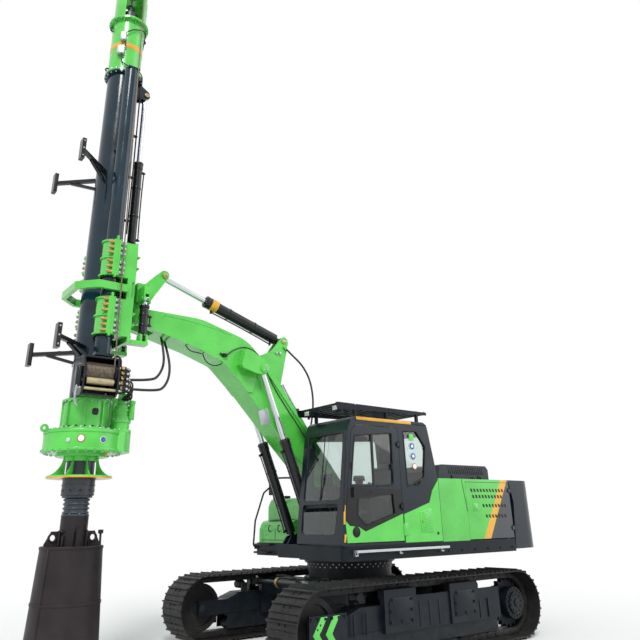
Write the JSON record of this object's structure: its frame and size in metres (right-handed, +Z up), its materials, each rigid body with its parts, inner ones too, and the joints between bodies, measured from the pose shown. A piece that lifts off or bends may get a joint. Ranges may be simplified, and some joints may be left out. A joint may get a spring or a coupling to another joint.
{
  "type": "rotary piling rig",
  "caption": "Tracked rotary piling rig: excavator carrier with cab and knuckle boom holding an upright sliding mast with rotary head, kelly bar and drilling bucket.",
  "frame": {"origin": "on the ground under the middle of the rig's length and width, at the lowest grousers", "axes": "+X forward towards the mast, +Y left towards the cab, +Z up along the mast"},
  "size_m": [7.916, 3.4, 10.129],
  "materials": {
    "green": "gloss",
    "graphite": "satin",
    "mast_black": "gloss",
    "chassis": "satin",
    "track_steel": "worn",
    "chrome": "polished",
    "cylinder": "satin",
    "glass": "clear",
    "seat": "woven",
    "silver": "satin",
    "kelly_paint": "satin",
    "bucket_steel": "matte",
    "rope": "worn",
    "hose": "satin",
    "spread_green": "satin",
    "engine_grey": "matte"
  },
  "bodies": {
    "undercarriage": {"track_left": "track_steel", "track_right": "track_steel", "track_frames": "chassis", "track_rollers": "chassis", "idlers": "chassis", "final_drives": "chassis", "centre_frame": "chassis", "spread_cylinders": "spread_green"},
    "upper": {"slew_frame": "chassis", "counterweight": "graphite", "body_shell": "green", "engine_block": "engine_grey", "right_side": "green", "cab_shell": "graphite", "cab_glass": "glass", "cab_side_skin": "green", "cab_seat": "seat", "roof_guard": "graphite", "step_rail": "silver", "mirror_stay": "graphite"},
    "cab_door": {"cab_door": "graphite", "door_skin": "green", "door_glass": "glass"},
    "engine_hood": {"engine_hood": "graphite"},
    "door_left": {"door_left": "green"},
    "door_right": {"door_right": "green"},
    "boom": {"boom": "green", "hose_boom_upper": "hose", "hose_boom_lower": "hose", "hose_tilt_left": "hose"},
    "lift_barrels": {"lift_barrels": "cylinder"},
    "lift_rods": {"lift_rods": "chrome"},
    "tilt_barrel": {"tilt_barrel": "cylinder"},
    "tilt_rod": {"tilt_rod": "chrome"},
    "pitch_block": {"pitch_block": "green"},
    "carriage": {"carriage": "green", "clamp_jaws": "green", "crowd_barrel": "cylinder"},
    "roll_barrel_left": {"roll_barrel_left": "cylinder"},
    "roll_barrel_right": {"roll_barrel_right": "cylinder"},
    "roll_rod_left": {"roll_rod_left": "chrome"},
    "roll_rod_right": {"roll_rod_right": "chrome"},
    "mast": {"mast_tube": "mast_black", "mast_head": "green", "rest_arms": "mast_black", "crowd_rod": "chrome", "winch_frame": "mast_black", "rotary_head": "green", "discharge_flange": "green", "hoist_rope": "rope"},
    "winch_drum": {"winch_drum": "rope"},
    "top_sheave": {"top_sheave": "graphite"},
    "kelly": {"kelly_outer": "kelly_paint"},
    "kelly_inner": {"kelly_inner": "kelly_paint", "kelly_spring": "kelly_paint", "bucket": "bucket_steel"},
    "bucket_gate": {"bucket_gate": "bucket_steel"}
  },
  "joints": [
    {"name": "slew", "type": "hinge", "parent": "undercarriage", "child": "upper", "pos_m": [-0.948, 0, 1.0423], "axis": [0, 0, 1], "continuous": true},
    {"name": "cab_door_swing", "type": "hinge", "parent": "upper", "child": "cab_door", "pos_m": [-0.786, 1.403, 2], "axis": [0, 0, 1], "range_deg": [0, 150]},
    {"name": "engine_hood_lift", "type": "hinge", "parent": "upper", "child": "engine_hood", "pos_m": [-2.432, 0, 2.174], "axis": [0, 1, 0], "range_deg": [0, 60]},
    {"name": "door_left_swing", "type": "hinge", "parent": "upper", "child": "door_left", "pos_m": [-3.184, 1.397, 1.7], "axis": [0, 0, 1], "range_deg": [0, 100]},
    {"name": "door_right_swing", "type": "hinge", "parent": "upper", "child": "door_right", "pos_m": [-3.184, -1.397, 1.7], "axis": [0, 0, -1], "range_deg": [0, 100]},
    {"name": "boom_lift", "type": "hinge", "parent": "upper", "child": "boom", "pos_m": [-0.848, 0, 1.7], "axis": [0, -1, 0], "range_deg": [-18, 18]},
    {"name": "lift_barrel_swing", "type": "hinge", "parent": "upper", "child": "lift_barrels", "pos_m": [-0.118, 0, 1.33], "axis": [0, -1, 0], "range_deg": [-17.63, 17.63]},
    {"name": "lift_rod_slide", "type": "slide", "parent": "lift_barrels", "child": "lift_rods", "axis": [0.3821, 0, 0.9241], "range_m": [-0.25438, 0.25438]},
    {"name": "mast_pitch", "type": "hinge", "parent": "boom", "child": "pitch_block", "pos_m": [2.772, 0, 4.222], "axis": [0, 1, 0], "range_deg": [-20, 15], "deforming": ["hose_boom_upper", "hose_boom_lower"]},
    {"name": "tilt_barrel_swing", "type": "hinge", "parent": "boom", "child": "tilt_barrel", "pos_m": [0.312, 0, 4.24], "axis": [0, -1, 0], "range_deg": [-1.73, 1.3]},
    {"name": "tilt_rod_slide", "type": "slide", "parent": "tilt_barrel", "child": "tilt_rod", "axis": [0.9514, 0, 0.3081], "range_m": [-0.26434, 0.19838]},
    {"name": "mast_roll", "type": "hinge", "parent": "pitch_block", "child": "carriage", "pos_m": [2.992, 0, 4.56], "axis": [1, 0, 0], "range_deg": [-6, 6]},
    {"name": "roll_barrel_left_swing", "type": "hinge", "parent": "carriage", "child": "roll_barrel_left", "pos_m": [2.782, 0.345, 3.88], "axis": [1, 0, 0], "range_deg": [-1.33, 1.33]},
    {"name": "roll_barrel_right_swing", "type": "hinge", "parent": "carriage", "child": "roll_barrel_right", "pos_m": [2.782, -0.345, 3.88], "axis": [1, 0, 0], "range_deg": [-1.33, 1.33]},
    {"name": "roll_rod_left_slide", "type": "slide", "parent": "roll_barrel_left", "child": "roll_rod_left", "axis": [0, 0, 1], "range_m": [-0.03655, 0.03655]},
    {"name": "roll_rod_right_slide", "type": "slide", "parent": "roll_barrel_right", "child": "roll_rod_right", "axis": [0, 0, 1], "range_m": [-0.03655, 0.03655]},
    {"name": "mast_crowd", "type": "slide", "parent": "carriage", "child": "mast", "axis": [0, 0, 1], "range_m": [-1.1, 0]},
    {"name": "winch_turn", "type": "hinge", "parent": "mast", "child": "winch_drum", "pos_m": [3.352, 0.41, 3.345], "axis": [1, 0, 0], "continuous": true},
    {"name": "sheave_turn", "type": "hinge", "parent": "mast", "child": "top_sheave", "pos_m": [3.292, 0.265, 9.85], "axis": [1, 0, 0], "continuous": true},
    {"name": "kelly_drive", "type": "hinge", "parent": "mast", "child": "kelly", "pos_m": [3.292, 0, 2.14], "axis": [0, 0, 1], "continuous": true},
    {"name": "kelly_feed", "type": "slide", "parent": "kelly", "child": "kelly_inner", "axis": [0, 0, 1], "range_m": [-5, 0]},
    {"name": "gate_open", "type": "hinge", "parent": "kelly_inner", "child": "bucket_gate", "pos_m": [2.857, 0, 0.18], "axis": [0, 1, 0], "range_deg": [0, 80]}
  ],
  "couplings": [
    {"joint": "lift_barrel_swing", "follows": "boom_lift", "ratio": 0.97865},
    {"joint": "lift_rod_slide", "follows": "boom_lift", "m_per_rad": 0.80812},
    {"joint": "tilt_barrel_swing", "follows": "mast_pitch", "ratio": 0.086088},
    {"joint": "tilt_rod_slide", "follows": "mast_pitch", "m_per_rad": 0.75585},
    {"joint": "roll_barrel_left_swing", "follows": "mast_roll", "ratio": 0.22009},
    {"joint": "roll_barrel_right_swing", "follows": "mast_roll", "ratio": 0.22009},
    {"joint": "roll_rod_left_slide", "follows": "mast_roll", "m_per_rad": -0.34429},
    {"joint": "roll_rod_right_slide", "follows": "mast_roll", "m_per_rad": 0.34429}
  ]
}
